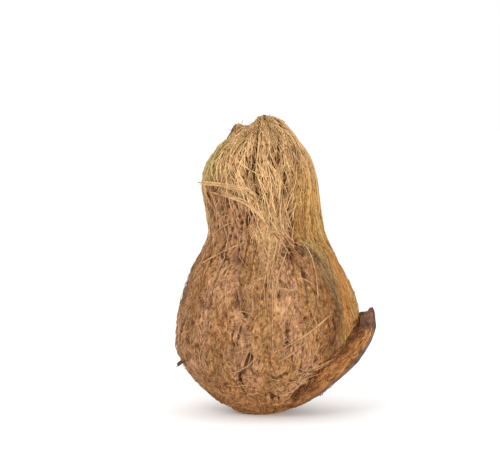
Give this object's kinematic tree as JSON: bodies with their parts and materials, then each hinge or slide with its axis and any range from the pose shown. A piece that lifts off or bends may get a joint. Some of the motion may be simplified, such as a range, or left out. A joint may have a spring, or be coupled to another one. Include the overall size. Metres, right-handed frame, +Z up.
{
  "type": "coconut",
  "caption": "Semi-husked coconut standing upright: round nut in a coat of brown coir, a tuft of husk over the eyes and a thick tongue of husk at its side.",
  "frame": {"origin": "middle of the small flat spot that the nut rests on", "axes": "+Z up along the fruit's axis, from the nut to the tuft; -Y is the front; +X points to the side with the tongue of husk"},
  "size_m": [0.1238, 0.1089, 0.1851],
  "materials": {
    "husk": "dry, matt, fibrous brown coir"
  },
  "bodies": {
    "root": {"coconut": "husk"}
  },
  "joints": []
}
